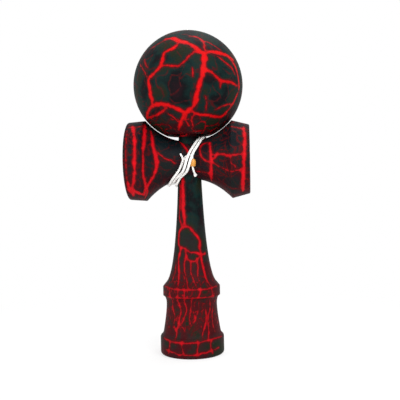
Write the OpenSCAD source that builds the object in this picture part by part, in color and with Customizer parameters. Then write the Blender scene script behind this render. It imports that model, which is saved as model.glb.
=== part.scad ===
// Kendama: a turned wooden handle with a spike and a base cup, a cross-piece
// with a big and a small cup wedged on the handle's taper, a ball on the spike,
// and the cotton string that ties them, wound round the cross-piece's waist.
// Millimetres. The handle stands upright on the rim of its base cup, centred on
// the origin. The big cup faces -X and the front, with the string's bead, faces -Y.

/* [Ball] */
// Diameter of the ball
ball_d = 59.4; // [50:0.5:75]
// Diameter of the hole that takes the spike
ball_hole_d = 22; // [20:0.5:24]
// Thickness of the wood between the spike hole's end and the top of the ball
ball_crown = 12; // [9:0.1:16]
// Width of the bevel round the mouth of the spike hole
ball_bevel = 1.4; // [0.5:0.1:3]
// Diameter of the string hole through the top of the ball
ball_string_hole_d = 3.2; // [2.5:0.1:4]
// Diameter of the countersink at the top of the string hole
ball_sink_d = 6.4; // [5:0.1:9]

/* [Cross-piece] */
// Length of the cross-piece from cup rim to cup rim
cross_len = 65.8; // [60:0.5:75]
// Diameter of the waist between the cups
waist_d = 20.6; // [19:0.1:22]
// Height of the cross-piece's axis above the base
cross_z = 105; // [100:0.5:112]
// Diameter of the big cup at its ridge
big_ridge_d = 43.7; // [40:0.1:46]
// Diameter of the big cup at its rim
big_rim_d = 42.4; // [39:0.1:43]
// Distance of the big cup's ridge from the rim
big_band = 9.2; // [7:0.1:12]
// Diameter of the big cup's hollow
big_cup_d = 36.6; // [33:0.1:38]
// Depth of the big cup's hollow
big_cup_depth = 8.4; // [7:0.1:10]
// Diameter of the small cup at its ridge
small_ridge_d = 42.2; // [38:0.1:44]
// Diameter of the small cup at its rim
small_rim_d = 37.6; // [35:0.1:40]
// Distance of the small cup's ridge from the rim
small_band = 9.6; // [7:0.1:12]
// Diameter of the small cup's hollow
small_cup_d = 32.6; // [30:0.1:34]
// Depth of the small cup's hollow
small_cup_depth = 7.4; // [6:0.1:9]
// Rounding of the cup rims
rim_round = 0.8; // [0.4:0.1:1.2]

/* [Handle] */
// Diameter of the foot that the handle stands on
foot_d = 30.4; // [30:0.1:32]
// Height of the rounding at the foot
foot_round = 1.8; // [1:0.1:3]
// Diameter of the base ring
ring_d = 34.5; // [33.5:0.1:37]
// Height of the base ring's upper edge
ring_h = 9.2; // [6:0.1:10]
// Diameter of the bell above the base ring
bell_d = 31.2; // [30:0.1:33]
// Height where the bell starts
bell_z = 12; // [11:0.1:13]
// Diameter of the neck below the collar
neck_d = 27.4; // [25:0.1:28.5]
// Height of the neck
neck_z = 27.5; // [25:0.1:28]
// Diameter of the collar
collar_d = 31; // [29:0.1:33]
// Height of the collar's lower edge
collar_z = 31.8; // [30:0.1:33]
// Width of the collar's band
collar_w = 4.9; // [4:0.1:7]
// Diameter of the stem where it leaves the collar
cove_d = 27.1; // [25:0.1:29]
// Height of the step between the collar and the stem
cove_h = 2.4; // [1:0.1:3]
// Diameter of the stem where it enters the cross-piece
stem_d = 12.8; // [12:0.1:13.5]
// Diameter of the stem where it leaves the cross-piece
taper_d = 11.6; // [11:0.1:12]
// Room above the spike's tip, in which the ball's bead and knot hang
tip_room = 8.4; // [7.6:0.1:14]
// Diameter of the spike at the foot of its rounded tip
tip_d = 7; // [5:0.1:9]
// Length of the rounded tip
tip_len = 7; // [4:0.1:10]
// Diameter of the base cup's hollow
base_cup_d = 27.2; // [24:0.1:28.4]
// Depth of the base cup's hollow
base_cup_depth = 6.4; // [5:0.1:8]

/* [String] */
// Diameter of the string
string_d = 1.2; // [1:0.05:1.3]
// Diameter of the thin tails at the front knot
tail_d = 1; // [0.8:0.05:1.1]
// Diameter of the string hole through cross-piece and handle
cord_hole_d = 2; // [1.8:0.1:2.6]
// Step along the cross-piece from one turn of the string to the next
turn_pitch = 2.05; // [2:0.01:2.1]
// Turns of the string round the waist
turn_count = 2.43; // [2.4:0.01:2.46]
// How far the turns stand off the waist where they cross the bead
bead_lift = 3.35; // [3.25:0.05:3.7]

/* [Beads and knots] */
// Diameter of the bead at the front of the cross-piece
front_bead_d = 3.4; // [3:0.1:3.6]
// Length of the bead at the front of the cross-piece
front_bead_len = 4; // [3:0.1:4.4]
// Diameter of the bead inside the ball
ball_bead_d = 7; // [5:0.1:9]
// Height of the bead inside the ball
ball_bead_h = 4.4; // [3.6:0.1:4.6]
// Diameter of the knots in the string
knot_d = 2.6; // [2.2:0.1:2.8]
// Diameter of the small knot at the end of the bead's tail
tail_knot_d = 2; // [1.6:0.1:2.4]

/* [Fits] */
// Clearance between the handle's taper and the cross-piece
taper_clearance = 0.04; // [0.02:0.01:0.1]
// Height of the ball above its seat on the cross-piece
ball_clearance = 0.3; // [0.3:0.05:0.6]
// Gap between the string and the wood that it lies on
string_clearance = 0.3; // [0.25:0.05:0.4]
// Clearance of the string in the beads' holes
bead_clearance = 0.25; // [0.15:0.05:0.3]

/* [Hidden] */
wood_black = [0.06, 0.055, 0.06];
wood_dark = [0.09, 0.07, 0.075];
crackle_red = [0.7, 0.05, 0.06];
cotton_white = [0.95, 0.94, 0.92];
bead_orange = [0.98, 0.62, 0.16];
bead_plain = [0.86, 0.7, 0.46];
round_sides = 96;
curve_steps = 14;
arc_steps = 6;
string_sides = 8;
turn_sides = 6;
turn_rings = 24;
overrun = 1;

ball_r = ball_d / 2;
half_len = cross_len / 2;
waist_r = waist_d / 2;
big_ridge_x = half_len - big_band;
small_ridge_x = half_len - small_band;
stem_z = cross_z - waist_r;
taper_z = cross_z + waist_r;
hole_slope = (stem_d - taper_d) / (taper_z - stem_z) / 2;
cross_reach = max(big_ridge_d, small_ridge_d) / 2 + overrun;

// Radius of the cross-piece at a place along it: each flare rises from the middle
// of the waist to the ridge of its cup by a power of the distance.
flare_power = 2.2;
function flare(x) =
    let (ridge_x = x < 0 ? big_ridge_x : small_ridge_x, ridge_d = x < 0 ? big_ridge_d : small_ridge_d)
    waist_r + (ridge_d / 2 - waist_r) * pow(abs(x) / ridge_x, flare_power);

// The ball comes to rest on the flares: the highest place that any point of
// either flare holds it at, and the clearance there.
ball_seat = max([for (i = [-curve_steps:curve_steps])
    let (x = i / curve_steps * min(big_ridge_x, small_ridge_x)) flare(x) + sqrt(pow(ball_r, 2) - pow(x, 2))]);
ball_z = cross_z + ball_seat + ball_clearance;
hole_end_z = ball_z + ball_r - ball_crown;
tip_z = hole_end_z - tip_room;
hole_mouth_z = ball_z - sqrt(pow(ball_r, 2) - pow(ball_hole_d / 2, 2));
sink_h = (ball_sink_d - ball_string_hole_d) / 2;

// Points of a cubic curve from a to d with handles b and c, without its ends.
function curve(a, b, c, d) = [for (i = [1:curve_steps - 1]) let (t = i / curve_steps)
    pow(1 - t, 3) * a + 3 * pow(1 - t, 2) * t * b + 3 * (1 - t) * pow(t, 2) * c + pow(t, 3) * d];

// Points of a quarter of an ellipse that leaves a along u and arrives along v.
function quarter(a, u, v) = [for (i = [0:arc_steps])
    let (q = 90 * i / arc_steps) a + u * sin(q) + v * (1 - cos(q))];

// Radius of the sphere that cuts a dish of this diameter and depth.
function dish_r(d, depth) = (pow(d / 2, 2) + pow(depth, 2)) / (2 * depth);

// Handles of the bell's and the stem's curves, as shares of the step between their ends.
bell_low_shares = [0.63, 0.43];
bell_high_shares = [1, 0.77];
stem_low_shares = [0.6, 0.08];
stem_high_shares = [0.88, 0.59];
collar_step_shares = [0.45, 0.45];

function along(a, b, shares) = [a.x + (b.x - a.x) * shares.x, a.y + (b.y - a.y) * shares.y];

bell_low = [bell_d / 2, bell_z];
bell_high = [neck_d / 2, neck_z];
stem_low = [cove_d / 2, collar_z + collar_w + cove_h];
stem_high = [stem_d / 2, stem_z];
collar_top = collar_z + collar_w;
neck_cove = collar_z - neck_z;
ring_r = ring_d / 2;

ken_outline = concat(
    [[0, 0]],
    quarter([foot_d / 2, 0], [(ring_r - foot_d / 2), 0], [0, foot_round]),
    quarter([ring_r, ring_h], [0, (bell_z - ring_h) / 2], [-(ring_r - bell_d / 2) / 2, 0]),
    [bell_low],
    curve(bell_low, along(bell_low, bell_high, bell_low_shares),
        along(bell_low, bell_high, bell_high_shares), bell_high),
    quarter(bell_high, [0, neck_cove], [collar_d / 2 - neck_d / 2, 0]),
    [[collar_d / 2, collar_top], along([collar_d / 2, collar_top], stem_low, collar_step_shares)],
    [stem_low],
    curve(stem_low, along(stem_low, stem_high, stem_low_shares),
        along(stem_low, stem_high, stem_high_shares), stem_high),
    [stem_high, [taper_d / 2, taper_z]],
    quarter([tip_d / 2, tip_z - tip_len], [0, tip_len], [-tip_d / 2, 0])
);

cross_outline = concat(
    [[0, -half_len], [big_rim_d / 2 - rim_round, -half_len]],
    quarter([big_rim_d / 2 - rim_round, -half_len], [rim_round, 0], [0, rim_round]),
    [for (i = [-curve_steps:curve_steps])
        let (x = i / curve_steps * (i < 0 ? big_ridge_x : small_ridge_x)) [flare(x), x]],
    quarter([small_rim_d / 2, half_len - rim_round], [0, rim_round], [-rim_round, 0]),
    [[0, half_len]]
);

// The winding leans like a ring that passes left of the handle below and right of
// the spike above. Its lean at each twelfth of a turn, as shares of the waist's
// diameter, runs from the front over the bottom, the back and the top.
lean_shares = [0, -0.14, -0.365, -0.495, -0.415, -0.24, -0.05, 0.14, 0.285, 0.345, 0.25, 0.13];
lift_centre_share = 0.02;
lift_reach_share = 0.14;
first_pass_share = 0.5;
start_turn_share = 0.012;
cross_from_share = 2.14;
last_bottom = 2.25;
leave_share = 0.3;
cross_gap = 0.7;
joint_gap = 0.02;
start_x = -1.9;
string_r = string_d / 2;
tail_r = tail_d / 2;

function lean(u) =
    let (n = len(lean_shares), k = floor(u * n), t = u * n - k,
        a = lean_shares[(k + n - 1) % n], b = lean_shares[k % n],
        c = lean_shares[(k + 1) % n], d = lean_shares[(k + 2) % n])
    waist_d * (b + t * (c - a) / 2 + pow(t, 2) * (a - 2.5 * b + 2 * c - d / 2)
        + pow(t, 3) * (1.5 * (b - c) + (d - a) / 2));

// Lift of the turns over the bead: a smooth hump at each pass of the front but the first.
function bead_hump(u) =
    let (from_front = (u - lift_centre_share) - round(u - lift_centre_share))
    u > first_pass_share && abs(from_front) < lift_reach_share
        ? bead_lift * pow(cos(90 * from_front / lift_reach_share), 2) : 0;

// Lift of the last stretch, which climbs over the earlier turns at the back.
function cross_hump(u) =
    let (t = min(1, max(0, (u - cross_from_share) / (last_bottom - cross_from_share))))
    (string_d + cross_gap) * (3 - 2 * t) * pow(t, 2);

// The last stretch leaves the bottom nearly straight up, with a small share of the lean.
function lean_turn(u) = u < last_bottom ? u : last_bottom + (u - last_bottom) * leave_share;

function turn_point(u) =
    let (x = start_x + turn_pitch * u + lean(lean_turn(u)),
        rho = flare(x) + string_clearance + string_r + bead_hump(u) + cross_hump(u))
    [x, -rho * cos(360 * u), cross_z - rho * sin(360 * u)];

winding_steps = round(turn_count * turn_rings);
winding_path = [for (i = [0:winding_steps])
    turn_point(start_turn_share + (turn_count - start_turn_share) * i / winding_steps)];
winding_refs = [for (p = winding_path) [0, p.y, p.z - cross_z]];

// Least gap of the winding to itself, from each point to each stretch a turn away.
function to_stretch(p, a, b) =
    let (t = min(1, max(0, (p - a) * (b - a) / ((b - a) * (b - a))))) norm(p - a - t * (b - a));
turn_gap = min([for (i = [0:len(winding_path) - 1], j = [0:len(winding_path) - 2])
    if (abs(i - j) > turn_rings / 2)
        to_stretch(winding_path[i], winding_path[j], winding_path[j + 1])]) - string_d;
echo(str("least gap of the winding to itself: ", turn_gap, " mm"));

// The string's way from the winding's end up the back of the ball, over its top
// and down its string hole. Points as chosen, with the cross-piece's axis at zero height.
riser_route = [[-5.7, 16.1, 1.2], [-5.2, 19, 7.4], [-4.8, 21.7, 13.6], [-4.5, 24.5, 19.9],
    [-4.2, 27.3, 26.1], [-3.9, 29.5, 32.6], [-3.4, 30.5, 38.8], [-3, 30.3, 44.7], [-2.6, 29.1, 50.5],
    [-2.2, 26.7, 55.8], [-1.8, 23.3, 60.7], [-1.4, 19, 64.8], [-1, 14, 68], [-0.6, 8.5, 70.3],
    [-0.3, 4.4, 71.2], [-0.1, 2.5, 71.3], [0, 1.2, 70.9], [0, 0.3, 69.9], [0, 0, 68.7],
    [0, 0, 65], [0, 0, 61], [0, 0, 57], [0, 0, 53]];
winding_end = winding_path[winding_steps];
end_step = winding_end - winding_path[winding_steps - 1];
end_way = end_step / norm(end_step);
riser_path = concat([winding_end + joint_gap * end_way, winding_end + string_d * end_way],
    [for (p = riser_route) p + [0, 0, cross_z]]);

// The front knot's own tails: one end up beside the turns, one under them to the bead.
front_knot_at = turn_point(0);
knot_tail_route = [[-2.4, -11.6, 0.7], [-2.7, -11.8, 1.3], [-3.1, -11.9, 2], [-3.5, -11.9, 2.9]];
bead_tail_route = [[-1.3, -11.4, 0.7], [-0.6, -11.5, 1.4], [0.2, -11.6, 1.9], [1.1, -11.7, 2.1],
    [2.1, -11.9, 1.9], [2.8, -12.2, 1], [2.9, -12.3, 0], [2.9, -12.3, -2], [2.9, -12.3, -4.2], [3, -12, -5.2],
    [3.3, -11.1, -6.3], [3.6, -10, -7.4], [3.9, -8.9, -8.4]];
bead_tail_bead = 7;
knot_tail_path = [for (p = knot_tail_route) p + [0, 0, cross_z]];
bead_tail_path = [for (p = bead_tail_route) p + [0, 0, cross_z]];

// The stop knot sits in a pocket at the back of the handle, inside the cross-piece.
pocket_d = knot_d + 2 * string_clearance;
pocket_edge = sqrt(pow(taper_d / 2, 2) - pow(start_x, 2));
stop_knot_y = pocket_edge - pocket_d / 2;
ball_bead_z = hole_end_z - bead_clearance - ball_bead_h;
ball_knot_z = ball_bead_z - bead_clearance - knot_d / 2;

// A tube of flat-sided rings along a path. Each ring faces the path's direction
// there and starts from a reference direction, so the tube doesn't twist.
module tube(path, refs, radius, sides) {
    last = len(path) - 1;
    rings = [for (i = [0:last])
        let (t = path[min(i + 1, last)] - path[max(i - 1, 0)], b = cross(t, refs[i]), n = cross(b, t),
            bu = b / norm(b), nu = n / norm(n))
        for (k = [0:sides - 1]) path[i] + radius * (cos(360 * k / sides) * nu + sin(360 * k / sides) * bu)];
    walls = [for (i = [0:last - 1], k = [0:sides - 1])
        let (a = i * sides + k, b = i * sides + (k + 1) % sides)
        each [[a, a + sides, b], [b, a + sides, b + sides]]];
    caps = [for (k = [1:sides - 2])
        each [[0, k, k + 1], [last * sides, last * sides + k + 1, last * sides + k]]];
    polyhedron(points = rings, faces = concat(walls, caps));
}

module one_way_tube(path, ref, radius) {
    tube(path, [for (p = path) ref], radius, string_sides);
}

// A bead standing on z = 0: a barrel with rounded ends and a hole along its axis.
module bead(d, h, hole_d) {
    bulge_share = 0.36;
    flat = d / 2 - d * bulge_share / 2;
    difference() {
        rotate_extrude($fn = round_sides)
            polygon(concat([[0, 0]], [for (i = [-arc_steps:arc_steps])
                let (q = 90 * i / arc_steps) [flat + (d / 2 - flat) * cos(q), h / 2 + h / 2 * sin(q)]],
                [[0, h]]));
        translate([0, 0, -overrun]) cylinder(d = hole_d, h = h + 2 * overrun, $fn = round_sides);
    }
}

// A drawn-up overhand knot: a round lump with the loop of the string across it.
module knot(d, cord) {
    loop_share = 0.3;
    union() {
        sphere(d = d - cord * loop_share, $fn = round_sides);
        rotate([35, 0, 0]) rotate_extrude($fn = round_sides)
            translate([d / 2 - cord / 2, 0]) circle(d = cord, $fn = round_sides);
    }
}

module cup_dish(at_x, side, d, depth) {
    r = dish_r(d, depth);
    translate([at_x + side * (r - depth), 0, cross_z]) sphere(r = r, $fn = round_sides);
}

module cord_hole() {
    translate([start_x, 0, cross_z]) rotate([90, 0, 0])
        cylinder(d = cord_hole_d, h = cross_reach, $fn = round_sides);
}

// The funnel at the mouth of the string hole, which the front knot is drawn into.
module cord_funnel() {
    funnel_d = knot_d + 2 * string_clearance;
    mouth_d = cord_hole_d + (funnel_d - cord_hole_d) * 2;
    translate([start_x, -waist_r + knot_d / 2, cross_z]) rotate([90, 0, 0])
        cylinder(d1 = cord_hole_d, d2 = mouth_d, h = knot_d, $fn = round_sides);
}

module ken() {
    color(wood_dark)
    difference() {
        rotate_extrude($fn = round_sides) polygon(ken_outline);
        translate([0, 0, base_cup_depth - dish_r(base_cup_d, base_cup_depth)])
            sphere(r = dish_r(base_cup_d, base_cup_depth), $fn = round_sides);
        cord_hole();
        translate([start_x, stop_knot_y - pocket_d / 2, cross_z]) rotate([-90, 0, 0]) {
            cylinder(d = pocket_d, h = cross_reach, $fn = round_sides);
            translate([0, 0, -cross_reach])
                cylinder(d = cord_hole_d, h = cross_reach + overrun, $fn = round_sides);
        }
    }
}

module sarado() {
    color(crackle_red)
    difference() {
        translate([0, 0, cross_z]) rotate([0, 90, 0])
            rotate_extrude($fn = round_sides) polygon(cross_outline);
        cup_dish(-half_len, -1, big_cup_d, big_cup_depth);
        cup_dish(half_len, 1, small_cup_d, small_cup_depth);
        translate([0, 0, cross_z - cross_reach])
            cylinder(r1 = (stem_d + taper_d) / 4 + taper_clearance + hole_slope * cross_reach,
                r2 = (stem_d + taper_d) / 4 + taper_clearance - hole_slope * cross_reach, h = 2 * cross_reach,
                $fn = round_sides);
        cord_hole();
        cord_funnel();
    }
}

module tama() {
    color(wood_black)
    translate([0, 0, ball_z])
    difference() {
        sphere(r = ball_r, $fn = round_sides);
        translate([0, 0, -ball_r - overrun])
            cylinder(d = ball_hole_d, h = ball_d - ball_crown + overrun, $fn = round_sides);
        translate([0, 0, hole_mouth_z - ball_z - ball_bevel])
            cylinder(d1 = ball_hole_d + 4 * ball_bevel, d2 = ball_hole_d, h = 2 * ball_bevel,
                $fn = round_sides);
        cylinder(d = ball_string_hole_d, h = ball_r + overrun, $fn = round_sides);
        translate([0, 0, ball_r - sink_h])
            cylinder(d1 = ball_string_hole_d, d2 = ball_sink_d, h = sink_h, $fn = round_sides);
    }
}

module front_bead() {
    color(bead_orange)
    translate(bead_tail_path[bead_tail_bead] - [0, 0, front_bead_len / 2])
        bead(front_bead_d, front_bead_len, tail_d + 2 * bead_clearance);
}

module front_knot() {
    color(cotton_white) translate(front_knot_at) knot(knot_d, string_d);
}

module knot_tail() {
    color(cotton_white) one_way_tube(knot_tail_path, [0, 1, 0], tail_r);
}

module bead_tail() {
    color(cotton_white) one_way_tube(bead_tail_path, [0, 1, 0], tail_r);
}

module tail_knot() {
    color(cotton_white) translate(bead_tail_path[len(bead_tail_path) - 1]) knot(tail_knot_d, tail_d);
}

module anchor_string() {
    color(cotton_white)
    translate([start_x, front_knot_at.y + string_r, cross_z]) rotate([-90, 0, 0])
        cylinder(d = string_d, h = stop_knot_y - front_knot_at.y - string_r, $fn = round_sides);
}

module stop_knot() {
    color(cotton_white) translate([start_x, stop_knot_y, cross_z]) knot(knot_d, string_d);
}

module string_winding() {
    color(cotton_white) tube(winding_path, winding_refs, string_r, turn_sides);
}

module string_riser() {
    color(cotton_white) one_way_tube(riser_path, [1, 0, 0], string_r);
}

module ball_bead() {
    color(bead_plain)
    translate([0, 0, ball_bead_z]) bead(ball_bead_d, ball_bead_h, string_d + 2 * bead_clearance);
}

module ball_knot() {
    color(cotton_white) translate([0, 0, ball_knot_z]) knot(knot_d, string_d);
}

ken();
sarado();
tama();
front_bead();
front_knot();
knot_tail();
bead_tail();
tail_knot();
anchor_string();
stop_knot();
string_winding();
string_riser();
ball_bead();
ball_knot();
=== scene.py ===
# %% [markdown]
# # A kendama in crackle paint
# A kendama is a turned handle (the ken), a cross-piece with two cups (the sarado), a ball
# with a hole (the tama) and a cotton string that ties them. The packed model gives the
# frame: every piece here is made in metres at the place that the model gives it, so that
# nothing has to be fitted afterwards.

# %% Load the frame
import math

import bmesh
import bpy
import numpy as np
from mathutils import Matrix, Vector, noise
from mathutils.kdtree import KDTree


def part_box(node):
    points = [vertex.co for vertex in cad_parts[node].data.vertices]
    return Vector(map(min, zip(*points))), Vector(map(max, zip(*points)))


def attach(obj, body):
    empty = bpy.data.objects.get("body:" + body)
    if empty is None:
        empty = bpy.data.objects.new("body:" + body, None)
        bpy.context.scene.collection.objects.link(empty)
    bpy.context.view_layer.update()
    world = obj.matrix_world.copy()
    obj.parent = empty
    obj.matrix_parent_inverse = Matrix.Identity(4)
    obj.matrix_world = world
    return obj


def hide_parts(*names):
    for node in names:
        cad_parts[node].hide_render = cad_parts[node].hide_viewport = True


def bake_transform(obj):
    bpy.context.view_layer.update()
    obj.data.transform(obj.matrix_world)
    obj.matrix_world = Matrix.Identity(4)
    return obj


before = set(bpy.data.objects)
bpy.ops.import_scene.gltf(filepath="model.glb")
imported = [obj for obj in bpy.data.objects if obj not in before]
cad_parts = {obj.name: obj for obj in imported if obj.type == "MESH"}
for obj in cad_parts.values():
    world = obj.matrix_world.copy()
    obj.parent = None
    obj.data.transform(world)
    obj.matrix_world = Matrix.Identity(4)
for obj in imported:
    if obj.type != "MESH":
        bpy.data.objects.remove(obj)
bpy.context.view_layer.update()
MM = 0.001

# %% [markdown]
# ## Sizes
# The model's own sizes are repeated here in millimetres, because a finish can't be painted on
# a shape that isn't known exactly. Heights that follow from them, such as the ball's centre,
# come from the boxes of the packed nodes.

# %% Sizes in millimetres
def node_box(node):
    low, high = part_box(node)
    return np.array(low) / MM, np.array(high) / MM


ball_low, ball_high = node_box("tama")
cross_low, cross_high = node_box("sarado")
BALL_R = (ball_high[0] - ball_low[0]) / 2
CROSS_Z = (cross_low[2] + cross_high[2]) / 2
HALF_LEN = cross_high[0]
TIP_Z = node_box("ken")[1][2]
BALL_HOLE_R, BALL_STRING_R, BALL_SINK_R, BALL_CROWN, TIP_ROOM = 11.0, 1.6, 3.0, 12.0, 8.4
HOLE_END_Z = TIP_Z + TIP_ROOM
BALL_Z = HOLE_END_Z + BALL_CROWN - BALL_R
WAIST_R, FLARE_POWER, RIM_ROUND = 10.3, 2.2, 0.8
BIG_RIDGE_R, BIG_RIM_R, BIG_BAND, BIG_CUP_R, BIG_CUP_DEPTH = 21.85, 21.2, 9.2, 18.3, 8.4
SMALL_RIDGE_R, SMALL_RIM_R, SMALL_BAND, SMALL_CUP_R, SMALL_CUP_DEPTH = 21.1, 18.8, 9.6, 16.3, 7.4
print("ball centre at", round(BALL_Z, 2), "mm, cross-piece at", round(CROSS_Z, 2), "mm")

# %% [markdown]
# ## Camera
# The camera comes first, because the cracks in the paint are traced through it later. It stands
# level, about 0.37 m away, a little below half the height. The object is turned by a few degrees
# in front of it, so the camera goes round the object by that angle instead.

# %% Camera
IMAGE_PX, FOCAL_PX, AXIS_PX = 400, 669.9, (200.0, 195.46)
CAMERA_AWAY, CAMERA_ASIDE, CAMERA_UP = 365.6, 5.46, 85.66
TURN_DEG, ROLL_DEG = -4.788, 0.989
SENSOR_MM, CLIP_NEAR, CLIP_FAR = 36, 0.01, 10

roll = math.radians(ROLL_DEG)
turn_back = Matrix.Rotation(-math.radians(TURN_DEG), 3, "Z")
eye = turn_back @ Vector((CAMERA_ASIDE, -CAMERA_AWAY, CAMERA_UP)) * MM
right = turn_back @ Vector((1, 0, 0))
ahead = turn_back @ Vector((0, 1, 0))
up = Vector((0, 0, 1))
camera_right = right * math.cos(roll) - up * math.sin(roll)
camera_up = right * math.sin(roll) + up * math.cos(roll)


def new_object(name, data):
    made = bpy.data.objects.new(name, data)
    bpy.context.scene.collection.objects.link(made)
    return made


camera_data = bpy.data.cameras.new("camera")
camera_data.sensor_width = SENSOR_MM
camera_data.lens = FOCAL_PX / IMAGE_PX * SENSOR_MM
camera_data.shift_x = -(AXIS_PX[0] - IMAGE_PX / 2) / IMAGE_PX
camera_data.shift_y = (AXIS_PX[1] - IMAGE_PX / 2) / IMAGE_PX
camera_data.clip_start, camera_data.clip_end = CLIP_NEAR, CLIP_FAR
camera = new_object("camera", camera_data)
turned = Matrix((camera_right, camera_up, -ahead)).transposed().to_4x4()
camera.matrix_world = Matrix.Translation(eye) @ turned
bpy.context.scene.camera = camera


def to_pixels(points):
    """Where points in millimetres appear in the picture."""
    to_eye = np.asarray(points, float) - np.array(eye) / MM
    depth = to_eye @ np.array(ahead)
    across = to_eye @ np.array(camera_right) / depth * FOCAL_PX
    upward = to_eye @ np.array(camera_up) / depth * FOCAL_PX
    return np.stack([AXIS_PX[0] + across, AXIS_PX[1] - upward], axis=-1)


print("base appears at pixel", np.round(to_pixels([[0, 0, 0]])[0], 1))

# %% [markdown]
# ## Node trees from a script
# Materials, the world and Geometry Nodes are all trees of nodes. Adding and wiring each node by
# hand takes many lines, so a small class does it in one call: it adds a node, sets it up and
# wires its inputs. It has short ways for the sums, ranges, mixes and noises that come up most.

# %% Node helpers
class Wiring:
    """A node tree with short ways to add nodes to it."""

    def __init__(self, tree):
        self.tree = tree

    def feed(self, node, wires):
        """Wires a node's inputs to sockets, or sets them to values."""
        for place, source in dict(wires).items():
            if isinstance(source, bpy.types.NodeSocket):
                self.tree.links.new(source, node.inputs[place])
            else:
                node.inputs[place].default_value = source

    def add(self, kind, wires=(), **settings):
        made = self.tree.nodes.new(kind)
        for key, value in settings.items():
            setattr(made, key, value)
        self.feed(made, wires)
        return made

    def place(self):
        return self.add("ShaderNodeTexCoord").outputs["Object"]

    def noise(self, scale, detail=3.0):
        wires = {"Vector": self.place(), "Scale": scale, "Detail": detail}
        return self.add("ShaderNodeTexNoise", wires).outputs["Fac"]

    def calc(self, operation, *values):
        return self.add("ShaderNodeMath", enumerate(values), operation=operation).outputs[0]

    def vector(self, operation, *values):
        return self.add("ShaderNodeVectorMath", enumerate(values), operation=operation).outputs

    def span(self, value, start, end, to=(0.0, 1.0), kind="LINEAR"):
        """Maps a value from the range start to end onto another range."""
        wires = {"Value": value, "From Min": start, "From Max": end, "To Min": to[0], "To Max": to[1]}
        return self.add("ShaderNodeMapRange", wires, interpolation_type=kind).outputs["Result"]

    def mix(self, factor, a, b):
        made = self.add("ShaderNodeMix", {"Factor": factor, "A": a, "B": b}, data_type="RGBA")
        return made.outputs["Result"]

    def ramp(self, value, stops):
        """Colours for a value, through stops of a share and a colour."""
        made = self.add("ShaderNodeValToRGB", {"Fac": value})
        elements = made.color_ramp.elements
        elements.remove(elements[1])
        for share, colour in stops:
            elements.new(share).color = (*colour, 1)
        elements.remove(elements[0])
        return made.outputs["Color"]

    def bump(self, height, strength, distance, **more):
        wires = {"Height": height, "Strength": strength, "Distance": distance, **more}
        return self.add("ShaderNodeBump", wires).outputs["Normal"]


def new_material(name):
    material = bpy.data.materials.new(name)
    material.use_nodes = True
    return material, Wiring(material.node_tree), material.node_tree.nodes["Principled BSDF"]


print("node helpers:", [name for name in vars(Wiring) if not name.startswith("_")])

# %% [markdown]
# ## Floor and world
# The toy stands on a pale floor in front of white. Stronger lamps could make that white, but they
# would bleach the toy. So the floor and the world look white to the camera, and to a glossy surface,
# through Light Path, which costs no extra light on the toy. Close to it the floor keeps some of its
# own shade, so that the toy stands on it.

# %% Floor and world
WHITE, FLOOR_GREY, FLOOR_ROUGH, SKY_STRENGTH = (1, 1, 1, 1), (0.93, 0.93, 0.93, 1), 0.9, 0.45
SHADE_NEAR, SHADE_FAR, WHITE_NEAR, FLOOR_HALF = 0.03, 0.22, 0.72, 3.0


def white_to_camera(nodes, lit, white_kind, share=None):
    """Mixes a plain white over lit for rays from the camera, off a gloss or through glass."""
    path = nodes.add("ShaderNodeLightPath").outputs
    amount = nodes.calc("MAXIMUM", path["Is Camera Ray"], path["Is Glossy Ray"])
    amount = nodes.calc("MAXIMUM", amount, path["Is Transmission Ray"])
    if share is not None:
        amount = nodes.calc("MULTIPLY", amount, share)
    white = nodes.add(white_kind, {"Color": WHITE})
    wires = {"Fac": amount, 1: lit.outputs[0], 2: white.outputs[0]}
    return nodes.add("ShaderNodeMixShader", wires).outputs[0]


world = bpy.data.worlds.new("studio")
world.use_nodes = True
studio = Wiring(world.node_tree)
sky = world.node_tree.nodes["Background"]
studio.feed(sky, {"Color": WHITE, "Strength": SKY_STRENGTH})
sky_light = white_to_camera(studio, sky, "ShaderNodeBackground")
studio.feed(world.node_tree.nodes["World Output"], {"Surface": sky_light})
bpy.context.scene.world = world
bpy.context.scene.view_settings.view_transform = "Standard"

floor_paint, floor_nodes, floor_shader = new_material("pale_floor")
floor_nodes.feed(floor_shader, {"Base Color": FLOOR_GREY, "Roughness": FLOOR_ROUGH})
from_toy = floor_nodes.vector("LENGTH", floor_nodes.place())["Value"]
floor_share = floor_nodes.span(from_toy, SHADE_NEAR, SHADE_FAR, (WHITE_NEAR, 1.0), "SMOOTHSTEP")
floor_light = white_to_camera(floor_nodes, floor_shader, "ShaderNodeEmission", floor_share)
floor_nodes.feed(floor_paint.node_tree.nodes["Material Output"], {"Surface": floor_light})

floor_mesh = bpy.data.meshes.new("floor")
floor_corners = [(x * FLOOR_HALF, y * FLOOR_HALF, 0) for x, y in ((-1, -1), (1, -1), (1, 1), (-1, 1))]
floor_mesh.from_pydata(floor_corners, [], [(0, 1, 2, 3)])
floor_mesh.materials.append(floor_paint)
new_object("floor", floor_mesh)
print("floor:", 2 * FLOOR_HALF, "m wide")

# %% [markdown]
# ## Lamps
# One small lamp would throw a hard shadow. Three large discs wrap soft light round the toy instead: a
# key lamp from the right, a weaker fill from the left and one overhead, all aimed at the toy's middle.

# %% Lamps
TOY_MIDDLE = Vector((0, 0, 0.09))
LAMPS = {
    "key": ((0.45, -0.75, 0.65), 0.7, 9.0),
    "fill": ((-0.75, -0.6, 0.35), 0.8, 5.0),
    "top": ((0.1, 0.15, 0.95), 0.7, 5.0),
}
for lamp_name, (lamp_place, size, power) in LAMPS.items():
    lamp_data = bpy.data.lights.new(lamp_name, "AREA")
    lamp_data.shape, lamp_data.size, lamp_data.energy = "DISK", size, power
    lamp = new_object(lamp_name, lamp_data)
    lamp.location = lamp_place
    lamp.rotation_euler = (TOY_MIDDLE - Vector(lamp_place)).to_track_quat("-Z", "Y").to_euler()
print("lamps:", sorted(LAMPS))

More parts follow.
